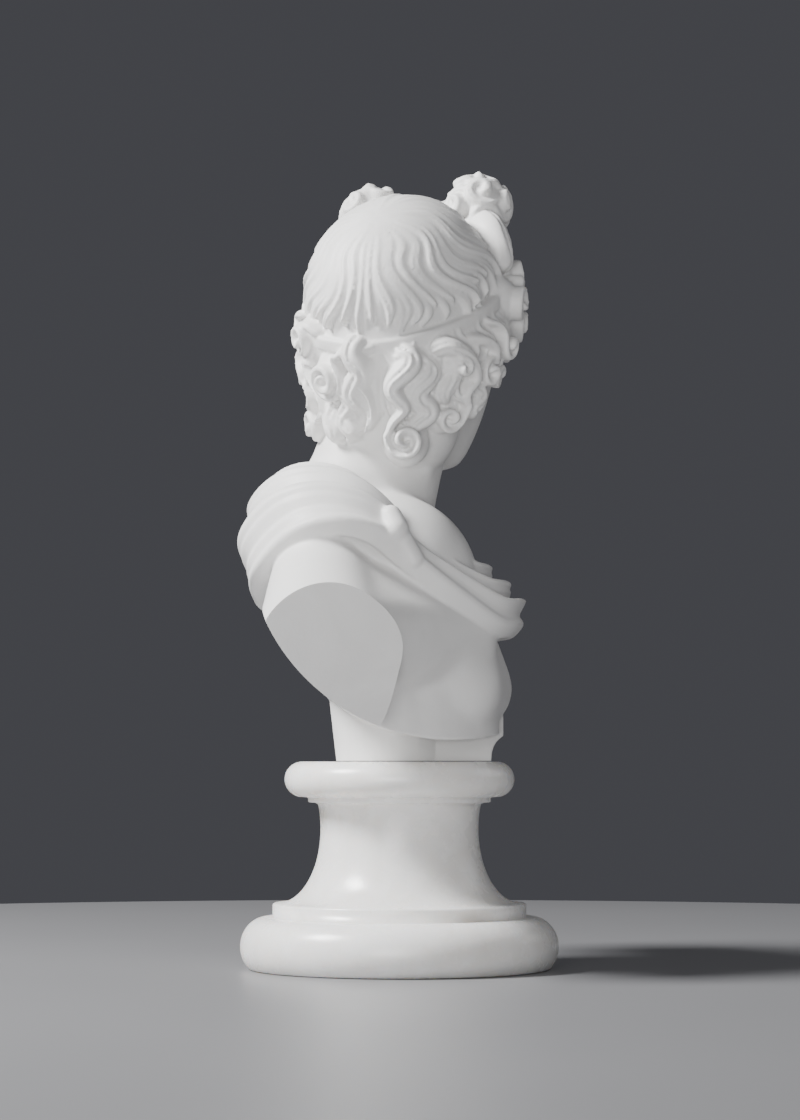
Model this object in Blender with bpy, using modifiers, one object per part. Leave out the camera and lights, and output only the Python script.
"""Classical portrait bust of a youth with a cloak on the shoulders, and the turned plinth it stands on.

Metres, +Z up, origin in the middle of the plinth's underside. The chest faces -Y and the figure's right arm is
at -X. The figure is carved in shares of its own head height, from a zero at its seat on the plinth.
"""
import math

import bmesh
import bpy
import numpy as np
from mathutils import Matrix, Vector

# one head of the figure, the measure of all its carving
HEAD = 0.10388
SEAT_GAP = 0.0003

PLINTH_HEIGHT = 0.0775
PLINTH_STEPS = 32
BASE_ROLL_RADIUS = 0.0600
BASE_ROLL_THICK = 0.0220
BASE_ROLL_DEEP = 0.0097
STEP_RADIUS = 0.0478
STEP_TOP = 0.0243
WAIST_RADIUS = 0.0298
WAIST_LEVEL = 0.0520
TOP_ROLL_RADIUS = 0.0434
TOP_ROLL_THICK = 0.0133
TOP_NECK_RADIUS = 0.0345

# how finely the carving is kept in this body: grain in heads, then the count of triangles
BODY_GRAIN = 0.024
GRAIN = 0.0155
BUST_TRIANGLES = 7700

HEAD_TURN = math.radians(64)
HEAD_PLACE = (0.0, -0.03, 1.585)
STUMP_LEAN = math.radians(14)
SIGHT_LEAN = math.radians(7)


def clear_scene():
    for old in list(bpy.data.objects):
        bpy.data.objects.remove(old)


def collection(name, hidden=False):
    made = bpy.data.collections.new(name)
    bpy.context.scene.collection.children.link(made)
    made.hide_render = hidden
    return made


def to_object(name, bm, home):
    mesh = bpy.data.meshes.new(name)
    bm.to_mesh(mesh)
    bm.free()
    obj = bpy.data.objects.new(name, mesh)
    home.objects.link(obj)
    return obj


def as_cutter(obj):
    obj.display_type = "WIRE"
    obj.hide_render = True
    return obj


def settle(obj):
    """Puts what the modifiers make in place of the mesh they work on."""
    graph = bpy.context.evaluated_depsgraph_get()
    graph.update()
    mesh = bpy.data.meshes.new_from_object(obj.evaluated_get(graph))
    obj.modifiers.clear()
    old = obj.data
    obj.data = mesh
    bpy.data.meshes.remove(old)


def fuse(obj, grain, softening):
    remesh = obj.modifiers.new("fuse", "REMESH")
    remesh.mode = "VOXEL"
    remesh.voxel_size = grain
    smooth = obj.modifiers.new("soften", "SMOOTH")
    smooth.factor = 0.5
    smooth.iterations = softening
    settle(obj)


def pour(bm, source):
    """Adds a bmesh to another and frees it."""
    mesh = bpy.data.meshes.new("pour")
    source.to_mesh(mesh)
    source.free()
    bm.from_mesh(mesh)
    bpy.data.meshes.remove(mesh)


def take(bm, obj):
    """Adds an object's mesh to a bmesh and drops the object."""
    bm.from_mesh(obj.data)
    bpy.data.objects.remove(obj)


def coordinates(bm):
    return np.array([v.co for v in bm.verts])


def place(bm, points):
    for vert, point in zip(bm.verts, points):
        vert.co = point


def hull(bm, *balls):
    """A taut skin over balls, each x, y, z and radius; a radius may be three radii."""
    skin = bmesh.new()
    for x, y, z, radius in balls:
        made = bmesh.ops.create_icosphere(skin, subdivisions=2, radius=1)["verts"]
        bmesh.ops.scale(skin, verts=made, vec=np.broadcast_to(radius, 3))
        bmesh.ops.translate(skin, verts=made, vec=(x, y, z))
    bmesh.ops.delete(skin, geom=skin.edges[:] + skin.faces[:], context="EDGES_FACES")
    bmesh.ops.convex_hull(skin, input=skin.verts)
    bmesh.ops.delete(skin, geom=[v for v in skin.verts if not v.link_faces], context="VERTS")
    pour(bm, skin)


def both(bm, *balls):
    """The same hull on the right and on the left."""
    hull(bm, *[(-x, y, z, r) for x, y, z, r in balls])
    hull(bm, *balls)


def curve_through(keys, values, at, closed=False):
    """Smooth values at the places in at, through a row of values at each key."""
    keys = np.asarray(keys, float)
    values = np.asarray(values, float)
    if closed:
        lap = keys[-1] - keys[0]
        keys = np.concatenate([[keys[-2] - lap], keys, [keys[1] + lap]])
        values = np.concatenate([values[-2:-1], values, values[1:2]])
    slopes = np.gradient(values, keys, axis=0)
    i = np.clip(np.searchsorted(keys, at, side="right") - 1, 0, len(keys) - 2)
    gap = (keys[i + 1] - keys[i])[:, None]
    t = (at - keys[i])[:, None] / gap
    first = (2 * t**3 - 3 * t**2 + 1) * values[i] + (t**3 - 2 * t**2 + t) * gap * slopes[i]
    return first + (3 * t**2 - 2 * t**3) * values[i + 1] + (t**3 - t**2) * gap * slopes[i + 1]


def ease(low, high, value):
    t = np.clip((value - low) / (high - low), 0, 1)
    return t * t * (3 - 2 * t)


def ridge(value, middle, spread):
    return np.exp(-(((value - middle) / spread) ** 2))


def torso(home):
    bm = bmesh.new()
    # the chest as a barrel, then the back
    both(bm, (0.22, 0.08, 0.62, 0.34), (0.20, 0.0, 0.05, 0.34), (0, 0.08, 0.62, 0.34),
         (0, 0.0, 0.05, 0.34))
    both(bm, (0.36, 0.28, 0.62, 0.22), (0.30, 0.26, 0.20, 0.22), (0, 0.32, 0.78, 0.18),
         (0, 0.26, 0.2, 0.2))
    # breast, flank, collar-bone, and the slope from the neck to the shoulder
    both(bm, (0.14, -0.245, 0.26, 0.15), (0.36, -0.165, 0.26, 0.16), (0.12, -0.14, 0.58, 0.14),
         (0.46, 0.05, 0.52, 0.14))
    both(bm, (0.46, 0.20, 0.50, 0.16), (0.42, 0.06, 0.14, 0.14), (0.40, 0.24, 0.16, 0.14))
    both(bm, (0.05, 0.0, 0.80, 0.05), (0.30, 0.03, 0.81, 0.05), (0.52, 0.20, 0.82, 0.05))
    both(bm, (0.03, -0.10, 0.80, 0.055), (0.24, -0.06, 0.77, 0.05), (0.12, -0.14, 0.58, 0.14))
    both(bm, (0, 0.24, 1.02, 0.12), (0.28, 0.30, 0.82, 0.13), (0.50, 0.33, 0.74, 0.12),
         (0, 0.40, 0.74, 0.12))
    # right arm, then the left, carried a little further forward
    hull(bm, (-0.50, 0.33, 0.60, 0.19), (-0.74, 0.34, 0.365, 0.25), (-0.84, 0.35, 0.11, 0.22))
    hull(bm, (-0.50, 0.33, 0.58, 0.19), (-0.70, 0.27, 0.42, 0.19), (-0.47, 0.04, 0.46, 0.16),
         (-0.34, -0.14, 0.42, 0.17))
    hull(bm, (0.50, 0.26, 0.65, 0.20), (0.74, 0.20, 0.44, 0.24), (0.84, 0.18, 0.18, 0.21))
    # neck
    hull(bm, (0, 0.17, 0.76, 0.26), (0, 0.07, 1.12, 0.235))
    hull(bm, (0, 0.07, 1.12, 0.235), (0.01, 0.0, 1.35, 0.235))
    obj = to_object("torso", bm, home)
    fuse(obj, BODY_GRAIN, 10)
    return obj


# the cloak's neckline and hem, at places round the neck from the clasp over the back and the left shoulder
CLOAK = (
    # neckline x, y, z, hem x, y, z, swell, depth of the folds
    (-0.36, 0.06, 0.775, -0.57, 0.05, 0.705, 0.015, 0.012),
    (-0.31, 0.15, 0.87, -0.61, 0.17, 0.79, 0.04, 0.018),
    (-0.25, 0.24, 0.97, -0.61, 0.31, 0.815, 0.05, 0.024),
    (-0.15, 0.33, 1.01, -0.54, 0.44, 0.77, 0.065, 0.028),
    (0.0, 0.37, 1.02, -0.34, 0.53, 0.66, 0.06, 0.028),
    (0.10, 0.36, 1.02, 0.10, 0.485, 0.60, 0.05, 0.026),
    (0.20, 0.30, 1.00, 0.48, 0.42, 0.58, 0.07, 0.028),
    (0.28, 0.20, 0.97, 0.74, 0.32, 0.57, 0.09, 0.032),
    (0.33, 0.10, 0.91, 0.84, 0.16, 0.55, 0.11, 0.038),
    (0.28, -0.02, 0.81, 0.70, -0.08, 0.51, 0.07, 0.044),
    (0.17, -0.14, 0.71, 0.40, -0.28, 0.48, 0.03, 0.048),
    (0.02, -0.19, 0.675, 0.04, -0.39, 0.485, 0.01, 0.048),
    (-0.14, -0.19, 0.67, -0.24, -0.375, 0.485, 0.01, 0.042),
    (-0.27, -0.12, 0.69, -0.42, -0.28, 0.485, 0.01, 0.036),
    (-0.35, -0.02, 0.73, -0.53, -0.12, 0.58, 0.01, 0.022),
)
CLOAK_THICK = 0.085
CLOAK_ROOT = 0.16


def cloak(bm, stations=150, across=40):
    """A band of cloth round the neck: over its top to the hem, round the hem and back through the body."""
    rows = np.array(CLOAK + CLOAK[:1])
    s = np.linspace(0, len(CLOAK), stations, endpoint=False)
    spread = curve_through(np.arange(len(rows)), rows, s, closed=True)
    neckline, hem, swell, depth = spread[:, :3], spread[:, 3:6], spread[:, 6], spread[:, 7]
    middle = (neckline + hem) / 2
    along = np.roll(middle, -1, 0) - np.roll(middle, 1, 0)
    fall = hem - neckline
    out = np.cross(along, fall)
    out /= np.linalg.norm(out, axis=1)[:, None]
    out *= np.sign(((middle - (0, 0.2, 0.6)) * out).sum(1))[:, None]
    fall_way = fall / np.linalg.norm(fall, axis=1)[:, None]
    sheet = bmesh.new()
    bmesh.ops.create_grid(sheet, x_segments=stations, y_segments=across, size=1)
    grid = coordinates(sheet)
    i = np.round((grid[:, 0] + 1) / 2 * stations).astype(int) % stations
    w = (grid[:, 1] + 1) / 2
    top = np.clip(w / 0.6, 0, 1)
    roll = np.clip((w - 0.6) / 0.15, 0, 1)
    under = np.clip((w - 0.75) / 0.2, 0, 1)
    close = np.clip((w - 0.95) / 0.05, 0, 1)
    drift = 0.3 * np.sin(2 * math.pi * s / len(CLOAK))[i]
    fold = np.sqrt(np.sin(math.pi * (3 * top + drift)) ** 2 + 0.02) - 0.14
    fold *= ease(0, 0.1, top) * ease(1, 0.9, top)
    height = CLOAK_THICK / 2 + swell[i] * 4 * top * (1 - top) + 1.6 * depth[i] * fold
    square = np.cos(math.pi * roll)
    square = np.sign(square) * np.abs(square) ** 0.6
    height = np.where(w > 0.6, CLOAK_THICK / 2 * square, height)
    points = neckline[i] + fall[i] * top[:, None] + out[i] * height[:, None]
    points += fall_way[i] * (0.4 * CLOAK_THICK * np.clip(np.sin(math.pi * roll), 0, 1) ** 0.6)[:, None]
    root = CLOAK_THICK / 2 + CLOAK_ROOT * np.clip(np.sin(math.pi * under), 0, 1) ** 1.2
    beneath = neckline[i] + fall[i] * (1 - under)[:, None] - out[i] * root[:, None]
    points = np.where((w > 0.75)[:, None], beneath, points)
    points += out[i] * (CLOAK_THICK * close)[:, None]
    place(sheet, points)
    bmesh.ops.remove_doubles(sheet, verts=sheet.verts, dist=1e-5)
    bmesh.ops.recalc_face_normals(sheet, faces=sheet.faces)
    pour(bm, sheet)
    # the knot on the right shoulder
    hull(bm, (-0.585, 0.10, 0.85, 0.036), (-0.605, 0.085, 0.80, 0.044), (-0.52, 0.10, 0.80, 0.05))
    hull(bm, (-0.59, 0.085, 0.80, 0.04), (-0.585, 0.02, 0.70, 0.034))


def slab(profile, half_width, lean=0.0):
    """A flat outline of y, z points drawn out along X."""
    bm = bmesh.new()
    ring = [bm.verts.new((-half_width, y, z)) for y, z in profile]
    face = bm.faces.new(ring)
    moved = bmesh.ops.extrude_face_region(bm, geom=[face])["geom"]
    moved = [g for g in moved if isinstance(g, bmesh.types.BMVert)]
    bmesh.ops.translate(bm, verts=moved, vec=(2 * half_width, 0, 0))
    bmesh.ops.rotate(bm, verts=bm.verts, matrix=Matrix.Rotation(lean, 3, "Z"), cent=(-0.8, 0, 0))
    bmesh.ops.recalc_face_normals(bm, faces=bm.faces)
    return bm


def keep_oval():
    """Side view of what is kept of the trunk: an oval below, open above."""
    middle_y, middle_z, reach, drop, top = -0.085, 0.745, 0.695, 0.672, 1.6
    turns = np.linspace(-math.pi, 0, 41)
    low = [(middle_y + reach * math.cos(a), middle_z + drop * math.sin(a)) for a in turns]
    return [(low[0][0], top)] + low + [(low[-1][0], top)]


def slice_off(obj, point, way):
    """Cuts away what lies beyond a plane and closes the cut."""
    bm = bmesh.new()
    bm.from_mesh(obj.data)
    everything = bm.verts[:] + bm.edges[:] + bm.faces[:]
    cut = bmesh.ops.bisect_plane(bm, geom=everything, plane_co=point, plane_no=way, clear_outer=True)
    rim = [g for g in cut["geom_cut"] if isinstance(g, bmesh.types.BMEdge)]
    bmesh.ops.holes_fill(bm, edges=rim)
    bm.to_mesh(obj.data)
    bm.free()


def trim(obj, keeper):
    keep = obj.modifiers.new("keep", "BOOLEAN")
    keep.operation = "INTERSECT"
    keep.solver = "EXACT"
    keep.object = keeper
    settle(obj)


FOOT_FRONT = (
    (-0.315, -0.05), (-0.318, 0.03), (-0.332, 0.065), (-0.36, 0.095), (-0.36, 0.16),
    (0.0, 0.16), (0.0, -0.05),
)


def foot(bm):
    """The column behind and the small tablet in front that carry the trunk."""
    hull(bm, (0, 0.02, -0.05, (0.20, 0.205, 0.02)), (0, 0.03, 0.5, (0.22, 0.26, 0.02)))
    pour(bm, slab(FOOT_FRONT, 0.16))


# head, in its own frame: the face looks to -Y, zero is between the eyes
FACE = (
    # height, front y, back y, half width, squareness
    (-0.497, -0.31, -0.24, 0.04, 2.0),
    (-0.485, -0.345, -0.20, 0.085, 2.0),
    (-0.455, -0.372, -0.14, 0.125, 2.0),
    (-0.41, -0.385, -0.06, 0.162, 2.05),
    (-0.35, -0.385, 0.02, 0.202, 2.1),
    (-0.28, -0.392, 0.08, 0.236, 2.15),
    (-0.20, -0.390, 0.12, 0.264, 2.25),
    (-0.12, -0.388, 0.15, 0.285, 2.3),
    (-0.04, -0.388, 0.15, 0.298, 2.3),
    (0.04, -0.392, 0.15, 0.300, 2.3),
    (0.12, -0.395, 0.15, 0.295, 2.3),
    (0.26, -0.340, 0.10, 0.24, 2.2),
)
SKULL_MIDDLE = np.array((0, 0.045, 0.10))
SKULL = np.array((0.325, 0.435, 0.375))


def head(bm):
    table = np.array(FACE)
    rows = 40
    block = bmesh.new()
    bmesh.ops.create_cone(block, cap_ends=True, segments=48, radius1=1, radius2=1, depth=2)
    walls = [e for e in block.edges if abs(e.verts[0].co.z - e.verts[1].co.z) > 1]
    bmesh.ops.subdivide_edges(block, edges=walls, cuts=rows)
    co = coordinates(block)
    z = table[0, 0] + (table[-1, 0] - table[0, 0]) * (co[:, 2] + 1) / 2
    front, back, half, square = curve_through(table[:, 0], table[:, 1:], z).T
    turn = np.arctan2(co[:, 1], co[:, 0])
    c, s = np.cos(turn), np.sin(turn)
    grow = (np.abs(c) ** square + np.abs(s) ** square) ** (-1 / square)
    place(block, np.stack([half * c * grow, (front + back) / 2 + (back - front) / 2 * s * grow, z], 1))
    pour(bm, block)
    hull(bm, (*SKULL_MIDDLE, SKULL))
    hull(bm, (0, 0.22, -0.05, 0.24), (0, 0.10, -0.35, 0.225))
    both(bm, (0.195, 0.0, -0.23, 0.07), (0.10, -0.20, -0.37, 0.07), (0.22, 0.02, -0.02, 0.07))
    # nose, brow, lips, chin
    hull(bm, (0, -0.38, 0.09, 0.035), (0, -0.475, -0.145, 0.034))
    hull(bm, (0, -0.475, -0.145, 0.034), (-0.045, -0.41, -0.165, 0.03), (0.045, -0.41, -0.165, 0.03))
    both(bm, (0.05, -0.375, 0.085, 0.03), (0.15, -0.36, 0.10, 0.03), (0.23, -0.28, 0.07, 0.03))
    hull(bm, (0, -0.39, -0.255, 0.035), (-0.07, -0.37, -0.265, 0.02), (0.07, -0.37, -0.265, 0.02))
    hull(bm, (0, -0.39, -0.290, 0.035), (-0.055, -0.37, -0.285, 0.02), (0.055, -0.37, -0.285, 0.02))
    hull(bm, (-0.04, -0.345, -0.42, 0.06), (0.04, -0.345, -0.42, 0.06))


# the surface the hair lies on below the skull's middle: height, half width, half depth, middle y
NAPE = np.array((
    (-0.55, 0.26, 0.26, 0.02),
    (-0.4, 0.26, 0.26, 0.025),
    (-0.3, 0.272, 0.29, 0.03),
    (-0.2, 0.285, 0.33, 0.04),
    (-0.1, 0.305, 0.375, 0.045),
    (0.0, 0.32, 0.415, 0.045),
    (0.1, 0.325, 0.435, 0.045),
))


def scalp_at(around, height):
    turn = np.clip(height, 0, None) / SKULL[2]
    z = SKULL_MIDDLE[2] + np.where(height >= 0, SKULL[2] * np.sin(turn), height)
    wide, deep, middle = [np.interp(z, NAPE[:, 0], NAPE[:, k]) for k in (1, 2, 3)]
    a = np.radians(around)
    return np.stack([-wide * np.cos(turn) * np.sin(a), middle + deep * np.cos(turn) * np.cos(a), z], -1)


def scalp(path):
    """Points and outward ways for rows of: degrees round from the back towards the right ear, height up the
    scalp, and lift off it."""
    around, height, lift = np.asarray(path, float).T
    points = scalp_at(around, height)
    sideways = scalp_at(around + 0.5, height) - scalp_at(around - 0.5, height)
    upward = scalp_at(around, height + 0.005) - scalp_at(around, height - 0.005)
    out = np.cross(sideways, upward)
    out /= np.linalg.norm(out, axis=1)[:, None]
    out *= np.sign(((points - SKULL_MIDDLE) * out).sum(1))[:, None]
    return points + out * lift[:, None], out


def taper(t, start, end):
    """Rises over the first share of a lock and draws to a point over its last."""
    rise = np.sin(np.clip(t / start, 0, 1) * math.pi / 2) ** 0.6
    fall = np.sin(np.clip((1 - t) / end, 0, 1) * math.pi / 2) ** 0.8
    return np.maximum(rise * fall, 0.03)


def lock(bm, points, out, width, height, sink, furrows=2, furrow=0.4, drift=0.0):
    """A furrowed lock of hair along points, half as wide as width, standing up by height."""
    way = np.gradient(points, axis=0)
    way /= np.linalg.norm(way, axis=1)[:, None]
    side = np.cross(out, way)
    side /= np.linalg.norm(side, axis=1)[:, None]
    up = np.cross(way, side)
    tube = bmesh.new()
    bmesh.ops.create_cone(tube, cap_ends=True, segments=20, radius1=1, radius2=1, depth=2)
    walls = [e for e in tube.edges if abs(e.verts[0].co.z - e.verts[1].co.z) > 1]
    bmesh.ops.subdivide_edges(tube, edges=walls, cuts=len(points) - 2)
    co = coordinates(tube)
    t = (co[:, 2] + 1) / 2
    k = np.round(t * (len(points) - 1)).astype(int)
    sway = co[:, 0] + 1 + 0.3 * (1 - co[:, 0] ** 2) * np.sin(2 * math.pi * t + drift)
    comb = 1 - furrow * ridge(np.sin(math.pi / 2 * (furrows + 1) * sway), 0, 0.42)
    comb = np.where(np.abs(co[:, 0]) > 0.97, 1, comb)
    rise = np.where(co[:, 1] > 0, co[:, 1] ** 0.8 * height[k] * comb, co[:, 1] * sink)
    place(tube, points[k] + side[k] * (co[:, 0] * width[k])[:, None] + up[k] * rise[:, None])
    pour(bm, tube)


def smooth_path(path, steps):
    path = np.array(path, float)
    k = np.linspace(0, len(path) - 1, steps * len(path))
    return curve_through(np.arange(len(path)), path, k)


def strand(bm, path, wide, tall, furrows=2, steps=10):
    points, out = scalp(smooth_path(path, steps))
    t = np.linspace(0, 1, len(points))
    lock(bm, points, out, wide * taper(t, 0.1, 0.5), tall * taper(t, 0.15, 0.4), 0.07, furrows,
         drift=path[0][0])


def winding(middle, out, radius, turns, spin, start, dome=1.5):
    """Points of a spiral wound up round a middle, and the ways its lock stands up."""
    up = np.array((0, 0, 1.0)) - out * out[2]
    up /= np.linalg.norm(up)
    side = np.cross(up, out)
    t = np.linspace(0, 1, int(32 * turns))
    angle = math.radians(start) + spin * 2 * math.pi * turns * t
    reach = radius * (1 - 0.9 * t)
    points = middle + side * (reach * np.sin(angle))[:, None] + up * (reach * np.cos(angle))[:, None]
    points = points + out * (0.022 * np.sin(t * math.pi / 2) - dome * reach**2)[:, None]
    return points, out + 0.3 * (points - middle) / radius


def curl(bm, around, height, lift, radius, turns, spin, tall, lead=(), start=0, lead_wide=None,
         furrows=1):
    """A lock that runs in along lead and winds up round a middle on the scalp, its arms just touching."""
    middle, out = scalp([(around, height, lift)])
    points, ways = winding(middle[0], out[0], radius, turns, spin, start)
    wide = np.full(len(points), 0.52 * 0.9 * radius / turns)
    mound = 1.14 * (radius + wide[0])
    hull(bm, (*(middle[0] - out[0] * 0.64 * mound), mound))
    if len(lead):
        first, first_ways = scalp(smooth_path(lead, 9)[:-1])
        points = np.concatenate([first, points])
        ways = np.concatenate([first_ways, ways])
        wide = np.concatenate([np.linspace(lead_wide or 1.4 * wide[0], wide[0], len(first)), wide])
        for _ in range(8):
            points[1:-1] = (points[:-2] + 2 * points[1:-1] + points[2:]) / 4
    ways /= np.linalg.norm(ways, axis=1)[:, None]
    t = np.linspace(0, 1, len(points))
    shape = np.maximum(taper(t, 0.1, 0.2), 0.45)
    lock(bm, points, ways, wide * shape, tall * shape, 0.05 + 0.8 * lift, furrows, drift=around)


WHORL = (3.0, 0.28)
CROWN_LOCKS = 28


def above_band(point):
    return point[..., 2] > 0.095 - 0.50 * point[..., 1]


def crown_axes():
    """The whorl, the way down the back from it, and the way towards the right ear, on a skull made round."""
    pole = (scalp([(*WHORL, 0)])[0][0] - SKULL_MIDDLE) / SKULL
    pole /= np.linalg.norm(pole)
    down = np.array((0, 0, -1.0)) + pole * pole[2]
    down /= np.linalg.norm(down)
    return pole, down, np.cross(pole, down)


def angle_to_band(bearing):
    """How far down the skull the band lies on each bearing from the whorl."""
    pole, down, side = crown_axes()
    heading = down * np.cos(bearing)[:, None] + side * np.sin(bearing)[:, None]
    near, far = np.zeros_like(bearing), np.full_like(bearing, 2.6)
    for _ in range(20):
        half = (near + far) / 2
        spoke = pole * np.cos(half)[:, None] + heading * np.sin(half)[:, None]
        inside = above_band(SKULL_MIDDLE + spoke * SKULL)
        near, far = np.where(inside, half, near), np.where(inside, far, half)
    return near


def lapped(lane, reach, stops, talls, rise):
    """Height of a layer of locks lying side by side along lanes, each drawn to a point at its own stop."""
    number = np.floor(lane).astype(int) % len(stops)
    across = 2 * (lane - np.floor(lane)) - 1
    stop = stops[number]
    tall = talls[number]
    t = np.clip(reach / stop, 0, 1)
    half = 1.02 - np.clip((t - 0.6) / 0.4, 0, 1) ** 1.8
    u = np.clip(np.abs(across + 0.25 * (1 - across**2)) / half, 0, 1)
    furrow = 1 - 0.22 * (0.5 - 0.5 * np.cos(3 * math.pi * (across / half)))
    return rise * tall * (1 - u**2.4) ** 0.6 * furrow * ease(1.0, 0.93, t)


def crown(bm):
    """The hair combed from the whorl down to the band: waving locks with pointed ends, lapped over shorter ones."""
    rng = np.random.default_rng(11)
    cap = bmesh.new()
    bmesh.ops.create_icosphere(cap, subdivisions=7, radius=1)
    way = coordinates(cap)
    pole, down, side = crown_axes()
    bearing = np.arctan2(way @ side, way @ down)
    reach = np.arccos(np.clip(way @ pole, -1, 1)) / angle_to_band(bearing)
    turn = np.tanh(2.2 * np.sin(bearing))
    phase = 0.5 * np.sin(3 * bearing + 0.6) + 0.35 * np.sin(5 * bearing)
    wave = np.radians(11) * np.sin(2 * math.pi * 1.55 * reach - 0.4 + phase) * ease(0.12, 0.5, reach)
    lane = bearing - turn * (wave - np.radians(15) * reach**2)
    lane = lane + 0.05 * np.sin(4 * lane + 1) + 0.03 * np.sin(9 * lane)
    lane = lane * CROWN_LOCKS / (2 * math.pi)
    tall = 0.004 + 0.044 * np.clip(reach, 0, 1) ** 1.6
    stops = rng.uniform(0.85, 0.97, (2, CROWN_LOCKS))
    talls = rng.uniform(0.7, 1.15, (2, CROWN_LOCKS))
    over = lapped(lane, reach, stops[0], talls[0], tall)
    under = lapped(lane + 0.5, reach, stops[1] + 0.09, talls[1], 0.62 * tall)
    height = np.maximum(over, under) + 0.004
    height = np.where(reach > 1.0, -0.02, height)
    out = way / SKULL
    out /= np.linalg.norm(out, axis=1)[:, None]
    place(cap, SKULL_MIDDLE + way * SKULL + out * height[:, None])
    pour(bm, cap)


def band_level(around):
    """How high on the scalp the band runs, at places round the head."""
    low, high = np.full(len(around), -0.3), np.full(len(around), 0.5)
    for _ in range(24):
        half = (low + high) / 2
        above = above_band(scalp_at(around, half))
        low, high = np.where(above, low, half), np.where(above, half, high)
    return low


def band(bm):
    """The flat fillet bound round the head."""
    around = np.linspace(0, 360, 180, endpoint=False)
    points, out = scalp(np.stack([around, band_level(around), 0 * around], 1))
    upward = np.array((0, 0.45, 0.9))
    edge = ((-0.026, -0.04), (-0.026, 0.034), (-0.018, 0.041), (0.018, 0.041), (0.026, 0.034), (0.026,
                                                                                                -0.04))
    ring = bmesh.new()
    bmesh.ops.create_grid(ring, x_segments=180, y_segments=len(edge), size=1)
    grid = coordinates(ring)
    i = np.round((grid[:, 0] + 1) * 90).astype(int) % 180
    j = np.round((grid[:, 1] + 1) / 2 * len(edge)).astype(int) % len(edge)
    rise, proud = np.array(edge)[j].T
    place(ring, points[i] + upward * rise[:, None] + out[i] * proud[:, None])
    bmesh.ops.remove_doubles(ring, verts=ring.verts, dist=1e-5)
    bmesh.ops.recalc_face_normals(ring, faces=ring.faces)
    pour(bm, ring)


LOOSE_LOCKS = 26
LOOSE_FALL = 0.34


def loose_hair(bm):
    """The hair that falls from under the band in waving locks, from temple to temple round the nape."""
    rng = np.random.default_rng(23)
    skirt = bmesh.new()
    bmesh.ops.create_cone(skirt, cap_ends=True, segments=300, radius1=1, radius2=1, depth=2)
    walls = [e for e in skirt.edges if abs(e.verts[0].co.z - e.verts[1].co.z) > 1]
    bmesh.ops.subdivide_edges(skirt, edges=walls, cuts=48)
    co = coordinates(skirt)
    around = np.degrees(np.arctan2(co[:, 0], co[:, 1]))
    fallen = (1 - co[:, 2]) / 2
    behind = ease(118, 100, np.abs(around))
    swing = np.tanh((around - 4) / 14)
    wave = np.sin(2 * math.pi * 1.25 * fallen + 0.5 * np.sin(np.radians(3 * around)))
    wave *= 0.62 * ease(0, 0.3, fallen)
    lane = around * LOOSE_LOCKS / 360 + 0.5 - swing * wave - 0.6 * swing * fallen
    stops = rng.uniform(0.62, 0.98, (2, LOOSE_LOCKS))
    talls = rng.uniform(0.75, 1.15, (2, LOOSE_LOCKS))
    swell = 0.05 + 0.045 * ease(0, 0.35, fallen)
    over = lapped(lane, fallen, stops[0], talls[0], swell)
    under = lapped(lane + 0.5, fallen, stops[1], talls[1], 0.7 * swell)
    height = np.maximum(over, under)
    height = np.where((height < 0.002) | (fallen > 0.99), -0.02, height) * behind - 0.04 * (1 - behind)
    level = band_level(around) - LOOSE_FALL * fallen
    points, out = scalp(np.stack([around, level, height], 1))
    place(skirt, points)
    pour(bm, skirt)


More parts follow.
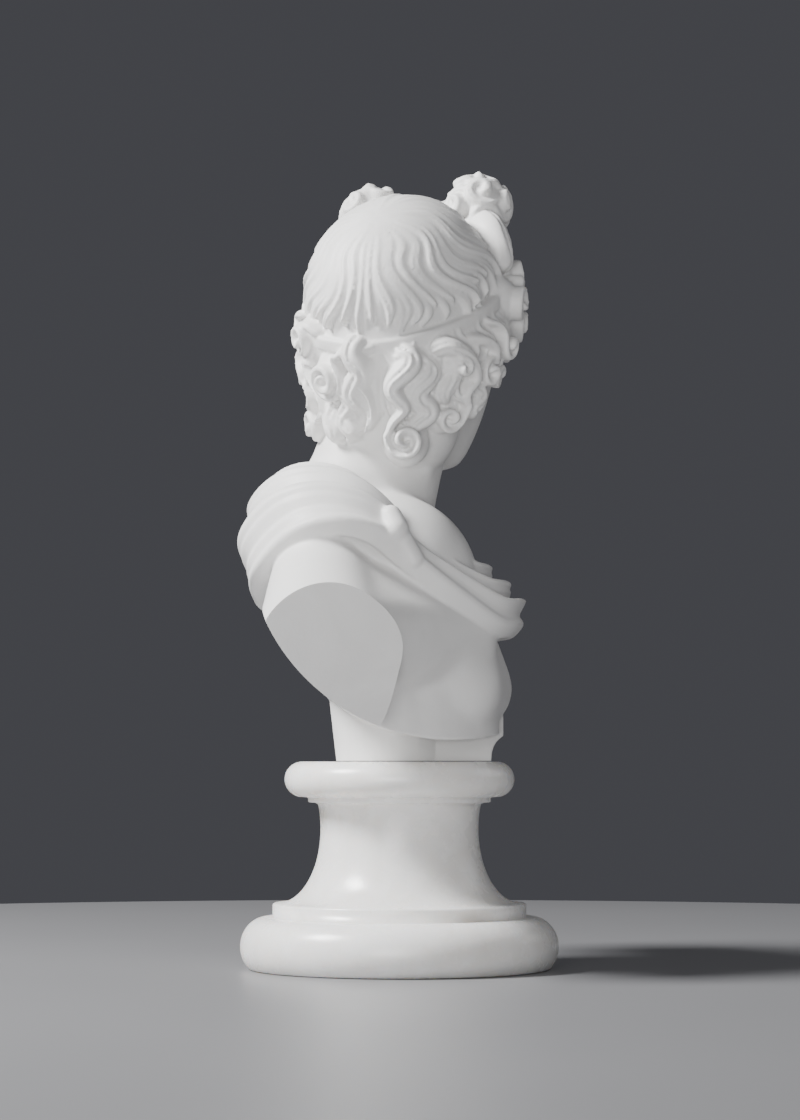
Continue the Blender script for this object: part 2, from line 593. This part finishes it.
def nape(bm):
    """The curls and the long ringlet under the band, from the left ear round the nape to the right ear."""
    # the large curl behind the left ear, and the locks that hang below it
    curl(bm, -29, -0.300, 0.045, 0.078, 2.2, 1, 0.050, [(6, -0.22, 0.0), (-4, -0.215, 0.03),
         (-14, -0.21, 0.045)], 25, 0.035)
    strand(bm, [(-9, -0.35, 0.02), (-15, -0.40, 0.04), (-20, -0.45, 0.045), (-15, -0.50, 0.05),
           (-27, -0.55, 0.03)], 0.044, 0.055)
    strand(bm, [(-30, -0.40, 0.02), (-35, -0.44, 0.04), (-33, -0.49, 0.045), (-39, -0.54, 0.02)], 0.045,
           0.05)
    curl(bm, -64, -0.45, 0.045, 0.058, 1.6, -1, 0.045, [(-50, -0.33, 0.02), (-56, -0.36, 0.04)], 200)
    # the curls behind the left ear
    curl(bm, -50, -0.15, 0.035, 0.062, 1.9, -1, 0.045, [(-36, -0.16, 0.0), (-44, -0.10, 0.03)], -30)
    curl(bm, -62, -0.27, 0.035, 0.058, 1.8, 1, 0.045, [(-46, -0.24, 0.02), (-54, -0.22, 0.04)], 40)
    curl(bm, -82, -0.12, 0.035, 0.066, 1.9, 1, 0.045, [(-62, -0.06, 0.0), (-74, -0.05, 0.03)], 10)
    curl(bm, -92, -0.27, 0.03, 0.060, 1.8, -1, 0.045, [(-76, -0.18, 0.03), (-84, -0.20, 0.03)], 0)
    strand(bm, [(-6, -0.18, 0.0), (-7, -0.225, 0.05), (-3, -0.285, 0.055), (-11, -0.35, 0.055),
           (-7, -0.42, 0.05), (-18, -0.48, 0.02)], 0.046, 0.055)
    # the long ringlet at the nape, and its neighbours
    curl(bm, 19, -0.550, 0.05, 0.058, 1.6, -1, 0.065, [(18, -0.215, -0.02), (25, -0.26, 0.05),
         (13, -0.33, 0.07), (20, -0.405, 0.07), (8, -0.475, 0.065)], -70, 0.056, 2)
    strand(bm, [(29, -0.24, -0.02), (36, -0.29, 0.04), (27, -0.36, 0.055), (34, -0.43, 0.055),
           (25, -0.48, 0.05), (36, -0.52, 0.02)], 0.044, 0.055)
    strand(bm, [(44, -0.26, 0.0), (50, -0.30, 0.05), (44, -0.36, 0.05), (50, -0.41, 0.03)], 0.036,
           0.045)
    # the locks that loop back behind the right ear
    curl(bm, 47, -0.45, 0.045, 0.042, 1.4, 1, 0.05, [(38, -0.225, -0.01), (46, -0.20, 0.06),
         (57, -0.23, 0.075), (63, -0.30, 0.07), (57, -0.36, 0.06), (62, -0.42, 0.05)], 110, 0.040, 2)
    curl(bm, 52, -0.262, 0.085, 0.030, 1.2, 1, 0.04, start=-60)
    curl(bm, 76, -0.275, 0.05, 0.050, 1.6, -1, 0.05, [(58, -0.18, 0.0), (70, -0.17, 0.05),
         (80, -0.20, 0.06)], 60, 0.034)
    strand(bm, [(66, -0.32, 0.03), (73, -0.36, 0.045), (67, -0.41, 0.045), (74, -0.45, 0.03)], 0.038,
           0.045)
    curl(bm, 92, -0.17, 0.06, 0.046, 1.5, -1, 0.05, [(76, -0.10, 0.0), (84, -0.11, 0.05)], -40)
    curl(bm, 100, -0.265, 0.02, 0.052, 1.6, 1, 0.045, [(90, -0.19, 0.03), (96, -0.19, 0.03)])


def fringe(bm):
    """The rolls of hair round the face, the same kind on both sides, fuller on the right."""
    for side, lift in ((-1, -0.015), (1, -0.005)):
        def at(*rows):
            return [(side * a, q, rise + lift) for a, q, rise in rows]

        path = at((172, 0.26, 0.02), (150, 0.22, 0.03), (128, 0.13, 0.03), (116, 0.0, 0.02),
            (112, -0.14, 0.0))
        strand(bm, path, 0.07, 0.05)
        # three waves from the parting to the temple, lapped upwards
        strand(bm, at((181, 0.14, 0.0), (172, 0.12, 0.045), (161, 0.08, 0.055), (150, 0.09, 0.06),
               (140, 0.06, 0.05)), 0.045, 0.05)
        strand(bm, at((181, 0.21, 0.01), (171, 0.19, 0.06), (159, 0.15, 0.07), (147, 0.165, 0.075),
               (134, 0.13, 0.05)), 0.048, 0.055)
        strand(bm, at((181, 0.28, 0.02), (170, 0.265, 0.07), (157, 0.225, 0.085), (144, 0.24, 0.085),
               (130, 0.20, 0.06)), 0.050, 0.055)
        curl(bm, side * 139, 0.02, 0.035 + lift, 0.054, 1.6, -side, 0.05, at((158, 0.04, 0.03),
             (150, 0.07, 0.05)), side * 30)
        curl(bm, side * 123, 0.10, 0.065 + lift, 0.068, 1.8, side, 0.055, at((140, 0.10, 0.06),
             (132, 0.16, 0.08)), side * 10)
        curl(bm, side * 121, -0.06, 0.065 + lift, 0.068, 1.8, -side, 0.055, at((136, -0.01, 0.03),
             (130, 0.03, 0.06)), side * -20)
        curl(bm, side * 104, 0.0, 0.06 + lift, 0.068, 1.8, side, 0.055, at((118, 0.06, 0.06),
             (110, 0.08, 0.07)), side * 40)
        curl(bm, side * 118, -0.155, 0.03 + lift, 0.048, 1.6, side, 0.05, at((128, -0.08, 0.04),
             (124, -0.10, 0.05)))
        # up in front of the band, towards the bow
        strand(bm, at((108, 0.10, 0.03), (110, 0.18, 0.06), (118, 0.27, 0.08), (136, 0.35, 0.06)),
               0.055, 0.055, 3)
        strand(bm, at((124, 0.17, 0.05), (130, 0.24, 0.08), (144, 0.30, 0.09), (160, 0.35, 0.07)), 0.05,
               0.055, 3)
        strand(bm, at((144, 0.24, 0.05), (152, 0.29, 0.08), (164, 0.32, 0.085), (176, 0.36, 0.06)),
               0.05, 0.05, 3)


BOW_CURLS = (
    # round the lobe from its outer end towards the back, height, size; in degrees and heads
    (20, 75, 0.064), (65, 30, 0.062), (60, -32, 0.058), (-40, 40, 0.062), (5, 5, 0.064),
    (-50, -25, 0.058), (120, 5, 0.056), (150, 60, 0.060), (205, 15, 0.056), (255, 25, 0.056),
)


def knot(bm):
    """The bow of hair on top of the head: to each side a bunch of curls gathered over a soft core."""
    for side, x, z, radius in ((-1, 0.200, 0.480, 0.082), (1, 0.215, 0.466, 0.080)):
        middle = np.array((side * x, -0.225, z))
        hull(bm, (*middle, (1.2 * radius, radius, radius)))
        for n, (turn, rise, size) in enumerate(BOW_CURLS):
            a, e = math.radians(turn), math.radians(rise)
            out = np.array((side * math.cos(a) * math.cos(e), math.sin(a) * math.cos(e), math.sin(e)))
            at = middle + out * radius * (1.1, 1.0, 1.0)
            points, ways = winding(at, out, size, 1.4, side * (-1) ** n, 70 * n, 5)
            wide = 0.34 * size * np.maximum(taper(np.linspace(0, 1, len(points)), 0.1, 0.2), 0.45)
            ways /= np.linalg.norm(ways, axis=1)[:, None]
            hull(bm, (*(at - out * 0.6 * size), 1.1 * size))
            lock(bm, points, ways, wide, 1.6 * wide, 0.05, 1, drift=n)
    # the twist between the two bunches
    for x in (-0.09, -0.03, 0.03, 0.09):
        path = [(x - 0.03, -0.30, 0.40), (x - 0.01, -0.26, 0.475), (x + 0.01, -0.20, 0.485), (x + 0.03,
                                                                                              -0.14, 0.45)]
        points = curve_through(np.arange(4), np.array(path), np.linspace(0, 3, 30))
        swell = taper(np.linspace(0, 1, 30), 0.2, 0.2)
        lock(bm, points, points - (x, -0.22, 0.35), 0.036 * swell, 0.028 * swell, 0.06, 2, drift=x)
    hull(bm, (-0.10, -0.22, 0.42, 0.055), (0.10, -0.22, 0.42, 0.055), (0, -0.20, 0.36, 0.05))


def headpiece():
    """The head with its hair, turned and set on the neck."""
    bm = bmesh.new()
    head(bm)
    crown(bm)
    band(bm)
    loose_hair(bm)
    nape(bm)
    fringe(bm)
    knot(bm)
    turn = Matrix.Translation(HEAD_PLACE) @ Matrix.Rotation(HEAD_TURN, 4, "Z")
    bmesh.ops.transform(bm, matrix=turn, verts=bm.verts)
    return bm


def largest_shell(obj):
    """Drops every closed skin but the largest, so no hollow is left sealed inside."""
    bm = bmesh.new()
    bm.from_mesh(obj.data)
    left = set(bm.verts)
    shells = []
    while left:
        stack = [left.pop()]
        shell = []
        while stack:
            vert = stack.pop()
            shell.append(vert)
            for edge in vert.link_edges:
                other = edge.other_vert(vert)
                if other in left:
                    left.remove(other)
                    stack.append(other)
        shells.append(shell)
    shells.sort(key=len)
    for shell in shells[:-1]:
        bmesh.ops.delete(bm, geom=shell, context="VERTS")
    bm.to_mesh(obj.data)
    bm.free()


def stone(name, colour, roughness, subsurface):
    material = bpy.data.materials.new(name)
    material.use_nodes = True
    shader = material.node_tree.nodes["Principled BSDF"]
    shader.inputs["Base Color"].default_value = (*colour, 1)
    shader.inputs["Roughness"].default_value = roughness
    shader.inputs["Subsurface Weight"].default_value = subsurface
    return material


def bust(home, guides):
    body = torso(guides)
    trim(body, as_cutter(to_object("trunk_oval", slab(keep_oval(), 1.6, -SIGHT_LEAN), guides)))
    bm = bmesh.new()
    take(bm, body)
    cloak(bm)
    trunk = to_object("trunk", bm, guides)
    fuse(trunk, GRAIN, 2)
    largest_shell(trunk)
    for side in (-1, 1):
        slice_off(trunk, (side * 0.80, 0, 0.46), (side * math.cos(STUMP_LEAN), 0, -math.sin(STUMP_LEAN)))
    bm = bmesh.new()
    take(bm, trunk)
    foot(bm)
    pour(bm, headpiece())
    obj = to_object("bust", bm, home)
    fuse(obj, GRAIN, 1)
    largest_shell(obj)
    thin = obj.modifiers.new("thin", "DECIMATE")
    thin.ratio = BUST_TRIANGLES / (2 * len(obj.data.polygons))
    settle(obj)
    obj.data.transform(Matrix.Translation((0, 0, PLINTH_HEIGHT + SEAT_GAP)) @ Matrix.Scale(HEAD, 4))
    slice_off(obj, (0, 0, PLINTH_HEIGHT + SEAT_GAP), (0, 0, -1))
    obj.data.shade_smooth()
    obj.data.materials.append(stone("bust_marble", (0.80, 0.79, 0.77), 0.5, 0.1))
    return obj


def arc(middle, radii, start, end, steps):
    """Points r, z along part of an oval."""
    turns = np.radians(np.linspace(start, end, steps))
    return [(middle[0] + radii[0] * math.cos(a), middle[1] + radii[1] * math.sin(a)) for a in turns]


def plinth_profile():
    """The turned outline from the axis on top down the outer side to the axis underneath."""
    roll = TOP_ROLL_THICK / 2
    top_face = TOP_ROLL_RADIUS - roll
    neck = PLINTH_HEIGHT - TOP_ROLL_THICK
    hollow = STEP_RADIUS - 0.0018 - WAIST_RADIUS
    base_middle = (BASE_ROLL_RADIUS - BASE_ROLL_DEEP, 0.0082)
    points = [(0.0, PLINTH_HEIGHT), (top_face, PLINTH_HEIGHT)]
    points += arc((top_face, PLINTH_HEIGHT - roll), (roll, roll), 75, -80, 7)
    points += [(TOP_NECK_RADIUS, neck - 0.0005), (TOP_NECK_RADIUS - 0.0027, neck - 0.0020)]
    points += arc((WAIST_RADIUS + hollow, WAIST_LEVEL), (hollow, WAIST_LEVEL - STEP_TOP), 166, 255, 9)
    points += [(STEP_RADIUS - 0.0008, STEP_TOP), (STEP_RADIUS, STEP_TOP - 0.0009), (STEP_RADIUS, 0.0196)]
    points += arc(base_middle, (BASE_ROLL_DEEP, BASE_ROLL_THICK / 2), 85, -42, 9)
    points += [(base_middle[0] + 0.0059, 0.0), (0.0, 0.0)]
    return points


def plinth(home):
    bm = bmesh.new()
    verts = [bm.verts.new((r, 0, z)) for r, z in plinth_profile()]
    for one, two in zip(verts, verts[1:]):
        bm.edges.new((one, two))
    obj = to_object("plinth", bm, home)
    turned = obj.modifiers.new("turned", "SCREW")
    turned.axis = "Z"
    turned.angle = 2 * math.pi
    turned.steps = PLINTH_STEPS
    turned.render_steps = PLINTH_STEPS
    turned.use_merge_vertices = True
    turned.merge_threshold = 0.00005
    settle(obj)
    obj.data.shade_smooth()
    obj.data.materials.append(stone("plinth_alabaster", (0.82, 0.80, 0.76), 0.3, 0.2))
    return obj


def build():
    clear_scene()
    home = collection("classical_bust")
    guides = collection("guides", hidden=True)
    plinth(home)
    bust(home, guides)


build()
